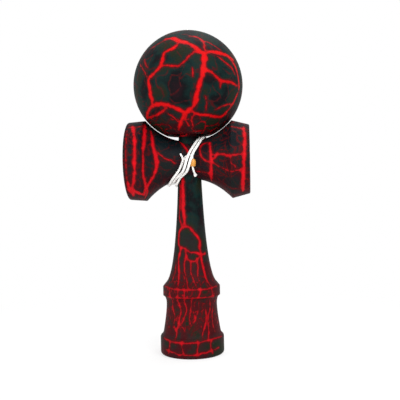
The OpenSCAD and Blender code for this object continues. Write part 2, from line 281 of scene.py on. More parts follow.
# %% [markdown]
# ## The string's routes
# The string leaves the front knot, winds about two and a half times round the waist, crosses
# over its own turns at the back, climbs behind the ball and goes down the ball's string hole.
# The turns lean: they pass left of the handle below and right of the spike above. Turns placed by
# hand would soon touch each other, so they are worked out by the same rule as the model's own turns.

# %% The wound turns
STRING_D, TAIL_D, BRAID_D, TAIL_BRAID_D = 1.2, 1.0, 1.45, 1.1
TURN_PITCH, TURN_COUNT, START_TURN, START_X, WINDING_STEPS = 2.05, 2.43, 0.012, -1.9, 200
STRING_CLEARANCE, BEAD_LIFT, LIFT_CENTRE, LIFT_REACH, LIFT_FROM = 0.3, 3.35, 0.02, 0.14, 0.5
CROSS_FROM, LAST_BOTTOM, LEAVE_SHARE, CROSS_GAP = 2.14, 2.25, 0.3, 0.7
LEAN_SHARES = [0, -0.14, -0.365, -0.495, -0.415, -0.24, -0.05, 0.14, 0.285, 0.345, 0.25, 0.13]


def flare(x):
    """Radius of the cross-piece at x along it."""
    ridge_x = np.where(x < 0, HALF_LEN - BIG_BAND, HALF_LEN - SMALL_BAND)
    ridge_r = np.where(x < 0, BIG_RIDGE_R, SMALL_RIDGE_R)
    return WAIST_R + (ridge_r - WAIST_R) * (np.abs(x) / ridge_x) ** FLARE_POWER


def between(a, b, c, d, t):
    """The point at share t from b to c, on a smooth curve through a, b, c and d."""
    bend = t ** 2 * (a - 2.5 * b + 2 * c - d / 2)
    return b + t * (c - a) / 2 + bend + t ** 3 * (1.5 * (b - c) + (d - a) / 2)


def lean(turns):
    """How far a turn leans along the cross-piece: a smooth curve through the shares."""
    count = len(LEAN_SHARES)
    step = math.floor(turns * count)
    near = (LEAN_SHARES[(step + k) % count] for k in (-1, 0, 1, 2))
    return 2 * WAIST_R * between(*near, turns * count - step)


def turn_point(turns):
    leaning = turns if turns < LAST_BOTTOM else LAST_BOTTOM + (turns - LAST_BOTTOM) * LEAVE_SHARE
    x = START_X + TURN_PITCH * turns + lean(leaning)
    from_front = (turns - LIFT_CENTRE) - round(turns - LIFT_CENTRE)
    over_bead = turns > LIFT_FROM and abs(from_front) < LIFT_REACH
    hump = BEAD_LIFT * math.cos(math.pi / 2 * from_front / LIFT_REACH) ** 2 if over_bead else 0
    crossing = min(1, max(0, (turns - CROSS_FROM) / (LAST_BOTTOM - CROSS_FROM)))
    climb = (STRING_D + CROSS_GAP) * (3 - 2 * crossing) * crossing ** 2
    out = float(flare(x)) + STRING_CLEARANCE + STRING_D / 2 + hump + climb
    angle = 2 * math.pi * turns
    return np.array([x, -out * math.cos(angle), CROSS_Z - out * math.sin(angle)])


def route_length(route):
    return float(np.linalg.norm(np.diff(route, axis=0), axis=1).sum())


winding_route = np.array([turn_point(START_TURN + (TURN_COUNT - START_TURN) * i / WINDING_STEPS)
                          for i in range(WINDING_STEPS + 1)])
print("string wound on:", round(route_length(winding_route)), "mm")

# %% [markdown]
# ## The free stretches
# The riser and the two tails don't follow a rule, so their points are listed one by one, the same as the
# model's, with heights measured from the cross-piece's axis. A smooth curve through the points is the
# way the string lies.

# %% The free stretches
RISER_START = 0.02
RISER_POINTS = [(-5.7, 16.1, 1.2), (-5.2, 19, 7.4), (-4.8, 21.7, 13.6), (-4.5, 24.5, 19.9),
                (-4.2, 27.3, 26.1), (-3.9, 29.5, 32.6), (-3.4, 30.5, 38.8), (-3, 30.3, 44.7),
                (-2.6, 29.1, 50.5), (-2.2, 26.7, 55.8), (-1.8, 23.3, 60.7), (-1.4, 19, 64.8), (-1, 14, 68),
                (-0.6, 8.5, 70.3), (-0.3, 4.4, 71.2), (-0.1, 2.5, 71.3), (0, 1.2, 70.9), (0, 0.3, 69.9),
                (0, 0, 68.7), (0, 0, 65), (0, 0, 61), (0, 0, 57), (0, 0, 53)]
KNOT_TAIL_POINTS = [(-2.4, -11.6, 0.7), (-2.7, -11.8, 1.3), (-3.1, -11.9, 2), (-3.5, -11.9, 2.9)]
BEAD_TAIL_POINTS = [(-1.3, -11.4, 0.7), (-0.6, -11.5, 1.4), (0.2, -11.6, 1.9), (1.1, -11.7, 2.1),
                    (2.1, -11.9, 1.9), (2.8, -12.2, 1), (2.9, -12.3, 0), (2.9, -12.3, -2),
                    (2.9, -12.3, -4.2), (3, -12, -5.2), (3.3, -11.1, -6.3), (3.6, -10, -7.4),
                    (3.9, -8.9, -8.4)]


def smooth_route(points, steps=6):
    """A rounded line through listed points."""
    p = np.array(points, float)
    p = np.vstack([2 * p[0] - p[1], p, 2 * p[-1] - p[-2]])
    t = (np.arange(steps) / steps)[:, None]
    pieces = [between(a, b, c, d, t) for a, b, c, d in zip(p, p[1:], p[2:], p[3:])]
    return np.vstack([*pieces, p[-2:-1]])


def above_axis(points):
    return [(x, y, z + CROSS_Z) for x, y, z in points]


winding_end = winding_route[-1]
end_way = winding_route[-1] - winding_route[-2]
end_way /= np.linalg.norm(end_way)
riser_start = [winding_end + RISER_START * end_way, winding_end + STRING_D * end_way]
riser_route = smooth_route([*riser_start, *above_axis(RISER_POINTS)])
knot_tail_route = smooth_route(above_axis(KNOT_TAIL_POINTS))
bead_tail_route = smooth_route(above_axis(BEAD_TAIL_POINTS))
print("riser:", round(route_length(riser_route)), "mm")

# %% [markdown]
# ## Geometry Nodes on a line
# Both trees below start from a line: the string's route or a turned piece's outline. One helper opens a
# tree with named inputs, one ends it in real geometry with a material, and one lays the line, runs the
# tree on it and keeps the result as a plain mesh, because only a plain mesh can be cracked and exported.

# %% Tree helpers
def new_tree(name, inputs):
    """A Geometry Nodes tree with named inputs: its wiring and its input sockets."""
    tree = bpy.data.node_groups.new(name, "GeometryNodeTree")
    tree.is_modifier = True
    tree.interface.new_socket("Geometry", in_out="INPUT", socket_type="NodeSocketGeometry")
    for label, kind in inputs.items():
        tree.interface.new_socket(label, in_out="INPUT", socket_type=f"NodeSocket{kind}")
    tree.interface.new_socket("Geometry", in_out="OUTPUT", socket_type="NodeSocketGeometry")
    return Wiring(tree), tree.nodes.new("NodeGroupInput").outputs


def end_tree(nodes, mesh, material):
    real = nodes.add("GeometryNodeRealizeInstances", {0: mesh})
    smooth = nodes.add("GeometryNodeSetShadeSmooth", {"Geometry": real.outputs[0]})
    painted = nodes.add("GeometryNodeSetMaterial", {"Geometry": smooth.outputs[0], "Material": material})
    nodes.feed(nodes.tree.nodes.new("NodeGroupOutput"), {0: painted.outputs[0]})
    print(nodes.tree.name, "tree has", len(nodes.tree.nodes), "nodes")
    return nodes.tree


def grown(name, points, tree, closed=False, **sizes):
    """Runs a tree on a line through points in millimetres. The line goes, the mesh stays."""
    data = bpy.data.curves.new(name + "_line", "CURVE")
    data.dimensions = "3D"
    spline = data.splines.new("POLY")
    spline.points.add(len(points) - 1)
    spline.use_cyclic_u = closed
    for spot, p in zip(spline.points, points):
        spot.co = (*(np.array(p, float) * MM), 1)
    line = new_object(name + "_line", data)
    modifier = line.modifiers.new("grow", "NODES")
    modifier.node_group = tree
    for socket in tree.interface.items_tree:
        key = socket.name.lower().replace(" ", "_")
        if socket.in_out == "INPUT" and key in sizes:
            modifier[socket.identifier] = sizes[key]
    bpy.context.view_layer.update()
    evaluated = line.evaluated_get(bpy.context.evaluated_depsgraph_get())
    mesh = bpy.data.meshes.new_from_object(evaluated)
    mesh.name = name
    bpy.data.objects.remove(line)
    return new_object(name, mesh)


print("tree helpers:", [helper.__name__ for helper in (new_tree, end_tree, grown)])

# %% [markdown]
# ## Braided string
# The string is a small cotton braid. A texture on a smooth tube would look flat from near by, so
# Geometry Nodes lays the real strands: the route is copied once for each strand, and every copy
# runs round it as a helix. Half of them turn the other way, and a small wave in their distance
# from the middle makes them pass over and under each other.

# %% Braid tree
STRAND_SIDES = 6


def braid_tree():
    nodes, given = new_tree("braided_string", {
        "Strands": "Int", "Lay": "Float", "Ring Radius": "Float", "Weave": "Float",
        "Strand Radius": "Float", "Step": "Float", "Material": "Material"})
    calc = nodes.calc
    path = nodes.add("GeometryNodeResampleCurve", {"Curve": given["Geometry"], "Length": given["Step"]},
                     mode="LENGTH")
    copies = nodes.add("GeometryNodeDuplicateElements", {"Geometry": path.outputs[0],
                                                         "Amount": given["Strands"]}, domain="SPLINE")
    index = copies.outputs["Duplicate Index"]
    pair = calc("FLOOR", calc("DIVIDE", index, 2.0))
    way = calc("SUBTRACT", 1.0, calc("MULTIPLY", 2.0, calc("MODULO", index, 2.0)))
    half_strands = calc("DIVIDE", given["Strands"], 2.0)
    along = nodes.add("GeometryNodeSplineParameter").outputs["Length"]
    turned = calc("MULTIPLY", calc("DIVIDE", along, given["Lay"]), 2 * math.pi)
    phase = calc("MULTIPLY", calc("DIVIDE", pair, half_strands), 2 * math.pi)
    angle = calc("MULTIPLY_ADD", way, turned, phase)
    wave = calc("COSINE", calc("MULTIPLY", half_strands, turned))
    weave = calc("MULTIPLY", calc("MULTIPLY", way, wave), given["Weave"])
    radius = calc("ADD", given["Ring Radius"], weave)
    normal = nodes.add("GeometryNodeInputNormal").outputs[0]
    side = nodes.vector("CROSS_PRODUCT", nodes.add("GeometryNodeInputTangent").outputs[0], normal)[0]
    shares = [calc("MULTIPLY", radius, calc(part, angle)) for part in ("COSINE", "SINE")]
    steps = [nodes.add("ShaderNodeVectorMath", {0: vector, "Scale": share}, operation="SCALE").outputs[0]
             for vector, share in zip((normal, side), shares)]
    offset = nodes.vector("ADD", *steps)[0]
    strands = nodes.add("GeometryNodeSetPosition", {"Geometry": copies.outputs["Geometry"], "Offset": offset})
    ring = nodes.add("GeometryNodeCurvePrimitiveCircle", {"Resolution": STRAND_SIDES,
                                                          "Radius": given["Strand Radius"]})
    tubes = nodes.add("GeometryNodeCurveToMesh", {"Curve": strands.outputs[0], "Fill Caps": True,
                                                  "Profile Curve": ring.outputs[0]})
    return end_tree(nodes, tubes.outputs[0], given["Material"])


BRAID = braid_tree()

# %% [markdown]
# ## Cotton
# Bleached cotton is white, dull and a little fuzzy. Real fuzz could be hair, but that is heavy for so
# thin a string. Sheen gives the soft edge of loose fibres instead, and a fine noise makes the strands
# uneven in tone and surface.

# %% Cotton material
FIBRE_SCALE, FIBRE_BUMP, FIBRE_DEPTH = 5200.0, 0.35, 0.00008
COTTON_TONES = [(0.3, (0.78, 0.77, 0.74)), (0.7, (0.93, 0.92, 0.9))]
COTTON_FEEL = {"Roughness": 0.85, "Sheen Weight": 0.3, "Sheen Roughness": 0.5}


def cotton():
    material, nodes, shader = new_material("white_cotton")
    fibres = nodes.noise(FIBRE_SCALE)
    nodes.feed(shader, {"Base Color": nodes.ramp(fibres, COTTON_TONES),
                        "Normal": nodes.bump(fibres, FIBRE_BUMP, FIBRE_DEPTH), **COTTON_FEEL})
    return material


COTTON = cotton()
print("made", COTTON.name)

# %% [markdown]
# ## Stretches and knots
# One tree makes every stretch. Only the size of the braid changes: the tails are a little thinner
# than the string. A drawn-up knot could be a plain lump, but its lobes show from near by, so it is a
# loop of the same braid pulled tight.

# %% Stretches and knots
BRAID_STRANDS, LAY_SHARE, RING_SHARE = 6, 2.8, 0.3
WEAVE_SHARE, STRAND_SHARE, STEP_SHARE = 0.045, 0.17, 0.25
KNOT_POINTS, KNOT_SPAN, KNOT_INSET_SHARE, KNOT_CORD_SHARE, ANCHOR_POINTS = 60, 6, 0.7, 0.75, 12


def settle(piece, node, body=None):
    """Hides the model's part for the node that a piece stands for, and puts the piece on its body if one is
    given.
    """
    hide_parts(node)
    if body:
        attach(piece, body)


def braided(name, route, diameter, node, body=None, closed=False):
    size = diameter * MM
    made = grown(name, route, BRAID, closed, strands=BRAID_STRANDS, lay=LAY_SHARE * size,
                 ring_radius=RING_SHARE * size, weave=WEAVE_SHARE * size,
                 strand_radius=STRAND_SHARE * size, step=STEP_SHARE * size, material=COTTON)
    settle(made, node, body)
    print(name, len(made.data.polygons), "faces,", round(route_length(route), 1), "mm")
    return made


def knot(name, node, cord, body):
    """A drawn-up overhand knot: a three-lobed loop that fills the node's box."""
    low, high = node_box(node)
    size = (high - low).max() - cord * KNOT_INSET_SHARE
    t = np.linspace(0, 2 * math.pi, KNOT_POINTS, endpoint=False)
    loop = np.stack([np.sin(t) + 2 * np.sin(2 * t), -np.sin(3 * t), np.cos(t) - 2 * np.cos(2 * t)], axis=1)
    route = (low + high) / 2 + loop / KNOT_SPAN * size
    return braided(name, route, cord * KNOT_CORD_SHARE, node, body, closed=True)


print("a strand goes once round in", round(LAY_SHARE * BRAID_D, 2), "mm of string")

# %% [markdown]
# ## Laying the string
# Each stretch and knot stands for one node of the model and rides on the body that it is tied to. The
# riser is the only one that is tied to two, so it is given no body here.

# %% Lay the string
string_winding = braided("wound_string", winding_route, BRAID_D, "string_winding", "handle")
string_riser = braided("rising_string", riser_route, BRAID_D, "string_riser")
knot_tail = braided("knot_tail_end", knot_tail_route, TAIL_BRAID_D, "knot_tail", "handle")
bead_tail = braided("bead_tail_end", bead_tail_route, TAIL_BRAID_D, "bead_tail", "handle")
front_knot = knot("front_tied_knot", "front_knot", STRING_D, "handle")
tail_knot = knot("tail_tied_knot", "tail_knot", TAIL_D, "handle")
knot("stop_tied_knot", "stop_knot", STRING_D, "handle")
ball_knot = knot("inner_tied_knot", "ball_knot", STRING_D, "string_end")
anchor_low, anchor_high = node_box("anchor_string")
anchor_route = np.tile((anchor_low + anchor_high) / 2, (ANCHOR_POINTS, 1))
anchor_route[:, 1] = np.linspace(anchor_low[1], anchor_high[1], ANCHOR_POINTS)
braided("anchored_string", anchor_route, STRING_D, "anchor_string", "handle")

# %% [markdown]
# ## Turned wood
# Handle, cross-piece and ball come off a lathe, so their shape is a rule: an outline that goes round
# an axis. A Screw modifier could turn them too, but its faces would be as uneven as the outline's
# points. A Geometry Nodes tree lays an even grid over the outline instead, one way along it and the
# other way round the axis, fine enough to carry the cracks as geometry.

# %% Lathe tree
WELD = 0.00001


def lathe_tree():
    nodes, given = new_tree("lathe", {"Along": "Int", "Around": "Int", "Weld": "Float",
                                      "Material": "Material"})
    grid = nodes.add("GeometryNodeMeshGrid", {"Size X": 1.0, "Size Y": 1.0, "Vertices X": given["Along"],
                                              "Vertices Y": given["Around"]})
    position = nodes.add("GeometryNodeInputPosition").outputs[0]
    spot = nodes.add("ShaderNodeSeparateXYZ", {0: position}).outputs
    share = nodes.calc("ADD", spot["X"], 0.5)
    angle = nodes.calc("MULTIPLY", nodes.calc("ADD", spot["Y"], 0.5), 2 * math.pi)
    outline = nodes.add("GeometryNodeSampleCurve", {"Curves": given["Geometry"], "Factor": share},
                        mode="FACTOR", use_all_curves=True)
    flat = nodes.add("ShaderNodeSeparateXYZ", {0: outline.outputs["Position"]}).outputs
    place = nodes.add("ShaderNodeCombineXYZ", {
        "X": nodes.calc("MULTIPLY", flat["X"], nodes.calc("COSINE", angle)),
        "Y": nodes.calc("MULTIPLY", flat["X"], nodes.calc("SINE", angle)), "Z": flat["Z"]})
    turned = nodes.add("GeometryNodeSetPosition", {"Geometry": grid.outputs["Mesh"],
                                                   "Position": place.outputs[0]})
    welded = nodes.add("GeometryNodeMergeByDistance", {"Geometry": turned.outputs[0],
                                                       "Distance": given["Weld"]})
    return end_tree(nodes, welded.outputs[0], given["Material"])


LATHE = lathe_tree()


def edit_mesh(mesh, change):
    """Opens a mesh for one change and writes it back."""
    shape = bmesh.new()
    shape.from_mesh(mesh)
    change(shape)
    shape.to_mesh(mesh)
    shape.free()


def turned_piece(name, outline, grid, material):
    """Turns an outline of (radius, height) points in millimetres round Z."""
    along, around = grid
    made = grown(name, [(r, 0, z) for r, z in outline], LATHE, along=along, around=around + 1, weld=WELD,
                 material=material)
    edit_mesh(made.data, lambda shape: bmesh.ops.recalc_face_normals(shape, faces=shape.faces))
    print(name, len(made.data.polygons), "faces")
    return made


# %% [markdown]
# ## Lines for the outlines
# The outlines follow the model: arcs for the cups and roundings, and curves for the bell and the stem.
# Each shape of line is a small function, so an outline reads from its middle outwards, like a drawing.

# %% Lines that make an outline
def bow(a, b, handles, steps=40):
    """A smooth curve from a to b, with its two handles as shares of the step between them."""
    a, b = np.array(a, float), np.array(b, float)
    low, high = (a + (b - a) * shares for shares in handles)
    t = np.linspace(0, 1, steps)[:, None]
    return (1 - t) ** 3 * a + 3 * (1 - t) ** 2 * t * low + 3 * (1 - t) * t ** 2 * high + t ** 3 * b


def quarter(a, first, then, steps=10):
    """A quarter of an ellipse that leaves a along first and arrives along then."""
    q = np.linspace(0, math.pi / 2, steps)[:, None]
    return np.array(a) + np.array(first) * np.sin(q) + np.array(then) * (1 - np.cos(q))


def dish(radius, depth, steps=30):
    """A cup's hollow from its middle to its rim, as (radius, height below the rim)."""
    sphere = (radius ** 2 + depth ** 2) / (2 * depth)
    r = np.linspace(0, radius, steps)
    return np.stack([r, depth - sphere + np.sqrt(sphere ** 2 - r ** 2)], axis=1)


big_hollow = dish(BIG_CUP_R, BIG_CUP_DEPTH)
print("big cup:", round(route_length(big_hollow), 1), "mm from its middle to its rim along the hollow")

# %% [markdown]
# ## The three outlines
# The handle is drawn from its base cup up to the spike's tip, the cross-piece from one cup to the other,
# and the ball from its string hole over the outside and back up its spike hole.

# %% The three outlines
FOOT_R, FOOT_ROUND, RING_R, RING_TOP, BELL_R, BELL_Z = 15.2, 1.8, 17.25, 9.2, 15.6, 12.0
NECK_R, NECK_Z, COLLAR_R, COLLAR_Z, COLLAR_TOP = 13.7, 27.5, 15.5, 31.8, 36.7
COVE_R, STEM_Z0 = 13.55, 39.1
STEM_R, TAPER_R, TIP_R, TIP_LEN, BASE_CUP_R, BASE_CUP_DEPTH = 6.4, 5.8, 3.5, 7.0, 13.6, 6.4
BELL_BOW_SHARES, STEM_BOW_SHARES = ((0.63, 0.43), (1, 0.77)), ((0.6, 0.08), (0.88, 0.59))
COVE_SHARE, BEVEL_R, BEVEL_H, FLARE_STEPS, SKIN_STEPS = 0.45, 12.0, 1.4, 120, 240


def handle_outline():
    collar_edge, cove = np.array([COLLAR_R, COLLAR_TOP]), np.array([COVE_R, STEM_Z0])
    return np.vstack([
        dish(BASE_CUP_R, BASE_CUP_DEPTH),
        quarter((FOOT_R, 0), (RING_R - FOOT_R, 0), (0, FOOT_ROUND)),
        quarter((RING_R, RING_TOP), (0, (BELL_Z - RING_TOP) / 2), (-(RING_R - BELL_R) / 2, 0)),
        bow((BELL_R, BELL_Z), (NECK_R, NECK_Z), BELL_BOW_SHARES),
        quarter((NECK_R, NECK_Z), (0, COLLAR_Z - NECK_Z), (COLLAR_R - NECK_R, 0)),
        [collar_edge, collar_edge * (1 - COVE_SHARE) + cove * COVE_SHARE],
        bow(cove, (STEM_R, CROSS_Z - WAIST_R), STEM_BOW_SHARES),
        [(TAPER_R, CROSS_Z + WAIST_R)],
        quarter((TIP_R, TIP_Z - TIP_LEN), (0, TIP_LEN), (-TIP_R, 0))])


def cross_outline():
    small_hollow = dish(SMALL_CUP_R, SMALL_CUP_DEPTH)[::-1]
    x = np.linspace(BIG_BAND - HALF_LEN, HALF_LEN - SMALL_BAND, FLARE_STEPS)
    return np.vstack([
        big_hollow - [0, HALF_LEN],
        quarter((BIG_RIM_R - RIM_ROUND, -HALF_LEN), (RIM_ROUND, 0), (0, RIM_ROUND)),
        np.stack([flare(x), x], axis=1),
        quarter((SMALL_RIM_R, HALF_LEN - RIM_ROUND), (0, RIM_ROUND), (-RIM_ROUND, 0)),
        np.stack([small_hollow[:, 0], HALF_LEN - small_hollow[:, 1]], axis=1)])


def ball_outline():
    mouth = BALL_Z - math.sqrt(BALL_R ** 2 - BALL_HOLE_R ** 2)
    top_z = BALL_Z + math.sqrt(BALL_R ** 2 - BALL_SINK_R ** 2)
    sink_z = top_z - (BALL_SINK_R - BALL_STRING_R)
    sweep = np.linspace(math.acos(BALL_SINK_R / BALL_R), -math.acos(BEVEL_R / BALL_R), SKIN_STEPS)
    skin = np.stack([BALL_R * np.cos(sweep), BALL_Z + BALL_R * np.sin(sweep)], axis=1)
    inner = [(BALL_HOLE_R, mouth + BEVEL_H), (BALL_HOLE_R, HOLE_END_Z), (BALL_STRING_R, HOLE_END_Z)]
    return np.vstack([[(BALL_STRING_R, HOLE_END_Z), (BALL_STRING_R, sink_z)], skin, inner])


for draw in (handle_outline, cross_outline, ball_outline):
    print(draw.__name__, len(draw()), "points,", round(route_length(draw())), "mm long")

# %% [markdown]
# ## Where the paint cracked
# Crackle paint is a black coat that shrinks over a red one and tears into islands. A Voronoi texture
# gives cracks too, but never these ones, so the widest tears on the side that shows are placed one by
# one: each has a width and a short list of picture points, which are sent through the
# camera onto the surface. Widths are in millimetres on the ball. On the other two pieces they are
# slimmed by a share when the paint is laid.

# %% Cracks that show on the ball
BALL_CRACKS = {
    "crown": (2.7, [(165, 38), (172, 37.2), (178, 39.8), (184, 40.8), (190, 42.8), (195, 46), (200, 50),
                    (205, 53)]),
    "crown_patch": (3.2, [(176, 39.5), (181, 41), (187, 42)]),
    "crown_right": (1.1, [(190, 35), (197, 36), (202, 39), (204.5, 44), (206, 50)]),
    "far_top": (0.6, [(203, 40), (209, 41.5), (215, 45), (221, 49)]),
    "shoulder": (2.5, [(205, 52), (211, 51), (217, 51.5), (223, 53), (229, 55.5), (234, 59)]),
    "right_edge": (1.6, [(229, 56), (234, 62), (237, 68), (239, 76), (240, 84), (240, 90)]),
    "right_stripe": (1.0, [(219, 56), (224, 60), (229, 64), (233, 68), (236, 74)]),
    "trunk_top": (3.2, [(204.5, 52), (205, 60), (204.5, 66), (203.5, 73)]),
    "trunk": (2.5, [(203.5, 73), (201.5, 80), (199.5, 87), (197.5, 94), (196, 101), (194, 107),
                    (190, 111), (185, 113.5)]),
    "root": (2.0, [(186, 113), (182, 119), (180, 124), (178.5, 131)]),
    "root_right": (1.0, [(186, 115), (185, 121), (189, 127)]),
    "left_floor": (2.4, [(185, 113.5), (178, 110.5), (172, 107.5), (165, 105.5), (158, 105),
                         (151.5, 106.5)]),
    "left_wall": (2.1, [(151.5, 106.5), (151, 101), (149.5, 95), (148.5, 88), (147.5, 82),
                        (148.5, 77.5), (152.5, 73.5)]),
    "left_climb": (2.1, [(152.5, 73.5), (157, 69), (160, 64.5), (162, 58), (163.5, 52.5), (168, 49.5),
                         (174, 46.5), (178, 42)]),
    "left_beam": (1.2, [(160, 65.5), (167, 65), (173, 65.5), (178, 65), (182, 62), (186, 58.5),
                        (190, 54.5), (195, 51), (201, 51.5)]),
    "left_foot": (1.7, [(151, 107), (148, 111), (146, 116), (146.5, 120)]),
    "low_left": (1.6, [(146, 118.5), (151, 117.5), (156, 115.5), (161, 113), (166, 109)]),
    "right_arm": (1.4, [(204, 70), (208, 70), (212, 71.5), (216, 75), (219.5, 79), (222, 81.5),
                        (228, 82), (233, 83.5), (238, 86.5)]),
    "right_spur": (0.7, [(222, 82), (221.5, 88)]),
    "low_right": (1.6, [(193, 112), (197, 115), (203, 115.5), (209, 116), (215, 117.5), (222, 117.5),
                        (226, 115)]),
    "low_edge": (1.1, [(222, 117.5), (227, 113), (232, 107), (236, 100), (239, 93)]),
    "low_thin": (0.7, [(216, 110.5), (221, 108), (227, 105.5), (233, 105)]),
    "inner_tick": (0.6, [(193, 67), (193.5, 71), (193.5, 76)]),
    "inner_right": (0.5, [(206.5, 96), (207, 103), (206.5, 111)]),
    "left_fine": (0.5, [(150, 48), (155, 44.5), (160, 41.5), (165, 39)]),
    "left_tick": (0.6, [(143.5, 59), (145, 64), (147, 67)]),
    "edge_left": (0.5, [(139, 64), (142, 69), (146, 76)]),
    "low_mid": (0.9, [(168, 115), (173, 118), (177, 122)]),
    "low_mid_right": (0.8, [(194, 116), (192, 121), (194, 128)]),
}
print(len(BALL_CRACKS), "cracks on the ball")

# %% [markdown]
# ## Cracks on the cross-piece
# Here the widest tears run round the rims and the flare, and a few cross over to the waist.

# %% Cracks that show on the cross-piece
CROSS_CRACKS = {
    "rim_stripe": (2.5, [(132, 125), (133, 130), (133.5, 137), (134, 145), (133.5, 155), (133.5, 165),
                         (134, 174)]),
    "rim_stripe_low": (2.2, [(134, 174), (133, 182), (132, 190), (133, 197)]),
    "ridge_stripe": (3.0, [(146, 124), (145.5, 132), (145, 140), (144.3, 148)]),
    "ridge_low": (2.0, [(144.3, 148), (144, 156), (144, 164), (144, 172), (145, 180), (147, 188),
                        (148.5, 193), (146, 199)]),
    "flare_arc": (2.8, [(152, 131), (153, 138), (154, 146), (156, 153), (157.5, 160), (157.5, 167),
                        (156, 173), (153, 179)]),
    "flare_low": (3.0, [(153, 179), (149.5, 185), (146.5, 190), (145, 196)]),
    "low_rim": (2.8, [(128, 190), (131, 193), (135, 192.5), (140, 195), (145, 195)]),
    "low_edge": (1.6, [(127, 183), (129, 189), (131, 193)]),
    "rim_line": (0.5, [(126.5, 130), (125.3, 140), (125, 152), (125.3, 165), (126, 177), (128, 188)]),
    "top_line": (0.5, [(128, 127), (136, 126), (144, 125.5)]),
    "waist_left": (1.0, [(159, 152), (164, 156.5), (170, 160), (176, 164)]),
    "spike_foot": (2.0, [(180, 140), (183, 144), (187, 149), (189, 155)]),
    "right_rim": (2.6, [(244.5, 126.5), (245.3, 135), (245, 145), (245.3, 155), (244.5, 165),
                        (244, 175), (243.5, 185), (243.5, 192)]),
    "right_top": (1.2, [(232, 125.5), (238, 126.5), (244, 128)]),
    "right_beam": (1.5, [(212, 154.5), (220, 153.5), (227, 155), (234, 154.5), (243, 153.5)]),
    "right_post": (2.3, [(209, 142), (209.5, 150), (210, 157), (210.3, 163), (210, 170), (210.5, 177),
                         (211, 182)]),
    "right_knee": (1.2, [(210, 161), (214, 157), (216, 153.5)]),
    "right_thin": (0.7, [(211, 162), (217, 166.5), (223, 169), (231, 172), (238, 171), (243, 170)]),
    "right_neck": (1.3, [(210, 162), (205, 161.5), (201, 157), (199, 150), (201, 144), (206, 142)]),
    "low_thin": (0.6, [(194, 172), (200, 173), (208, 174)]),
    "right_side": (0.6, [(228, 155), (231, 162), (236, 168)]),
}
print(len(CROSS_CRACKS), "cracks on the cross-piece")

# %% [markdown]
# ## Cracks on the handle
# On the stem the widest tears run lengthways. On the collar and the ring they run along the edges.

# %% Cracks that show on the handle
HANDLE_CRACKS = {
    "stem_stripe": (4.0, [(181.5, 178), (181.8, 192), (182, 200), (181.8, 208), (183, 216),
                          (183.5, 224)]),
    "stem_edge": (1.6, [(179, 184), (179, 196), (178.5, 208), (178.5, 218), (181, 226)]),
    "fork_left": (2.4, [(182, 226), (178.5, 231), (177.5, 238), (178, 245), (180.5, 248)]),
    "fork_right": (2.5, [(183, 226), (190, 227), (194, 231), (198, 236), (201, 241), (201, 248),
                         (202, 254)]),
    "stem_beam": (1.1, [(180, 247), (185, 249), (190, 251.5), (196, 252), (202, 254)]),
    "stem_node": (2.8, [(198, 253), (202, 254), (206.5, 253)]),
    "stem_loop": (1.0, [(184, 249), (186, 257), (192, 261), (198, 259), (202, 255)]),
    "right_leg": (2.3, [(202, 254), (203, 262), (205, 270), (207, 278), (211, 285)]),
    "left_leg": (2.3, [(180, 248), (178, 256), (177.5, 264), (178, 272), (177.5, 285)]),
    "mid_leg": (1.0, [(185, 256), (183.5, 263), (184, 271), (186, 279), (187, 287)]),
    "mid_right": (0.8, [(192, 261), (190.5, 268), (193, 276), (196, 285)]),
    "right_mid": (1.0, [(198, 259), (199, 267), (198.5, 275), (201, 284)]),
    "far_left": (0.8, [(175, 262), (174, 272), (171, 281)]),
    "collar_top": (1.4, [(164, 285.5), (172, 288.5), (180, 289.7), (190, 290), (200, 289.7),
                         (208, 288.5), (217, 285.5)]),
    "collar_low": (1.1, [(166, 296.5), (175, 298.5), (185, 299.2), (195, 299.2), (205, 298.3),
                         (215, 296)]),
    "bell_left": (1.4, [(176, 298), (178, 304), (180, 310), (179, 316), (178, 322), (176, 330),
                        (175, 338)]),
    "bell_left_2": (1.1, [(184, 299), (184, 304), (186, 309), (184, 315), (182, 321), (179, 324)]),
    "bell_mid": (0.9, [(192, 300), (191, 306), (189.5, 312), (189, 318), (190, 325)]),
    "bell_tick": (0.8, [(199, 310), (197, 317), (194, 322)]),
    "bell_tick_2": (0.7, [(194, 311), (196, 318)]),
    "bell_right": (1.4, [(206, 306), (207, 313), (207, 319), (206, 325), (204, 331), (203, 337)]),
    "bell_right_2": (1.4, [(211, 300), (211, 309), (209, 317), (209, 324), (210, 331), (209, 339)]),
    "bell_right_3": (0.8, [(214, 306), (213, 316), (214, 324), (216, 331)]),
    "bell_far_left": (0.9, [(171, 299), (172, 308), (174, 316), (173, 324), (175, 331)]),
    "bell_low": (0.8, [(177, 323), (181, 326), (184, 331)]),
    "ring_top": (1.4, [(163, 337), (170, 341), (178, 342.7), (188, 343), (198, 342.3), (206, 340.5),
                       (214, 338.5), (222, 335)]),
    "ring_low": (1.4, [(165, 349.5), (174, 353.5), (184, 355), (194, 355), (204, 353.5), (212, 351),
                       (220, 347.5)]),
}
print(len(HANDLE_CRACKS), "cracks on the handle")

# %% [markdown]
# ## Short cracks across the collar and the ring
# Between the long cracks round the collar and the ring the coat tears across in short, slanted ticks.
# They repeat, so a loop adds them.

# %% Short cracks across the collar and the ring
COLLAR_TICKS_PX, COLLAR_ROWS_PX = (168, 176.5, 183, 200.5, 213), (288.5, 293, 298.5)
RING_TICKS_PX, RING_ROWS_PX = (169, 181.5, 199, 212), (341.5, 347, 353.5)
TICK_WIDTH, TICK_BEND, TICK_SLANT = 0.9, 0.5, (1.5, -1, 0.5, -2, 1)


def add_ticks(label, columns, rows, way):
    for count, x in enumerate(columns):
        shifts = (0, way * TICK_BEND, way * TICK_SLANT[count])
        route = [(x + shift, y) for shift, y in zip(shifts, rows)]
        HANDLE_CRACKS[f"{label}_tick_{count}"] = (TICK_WIDTH, route)


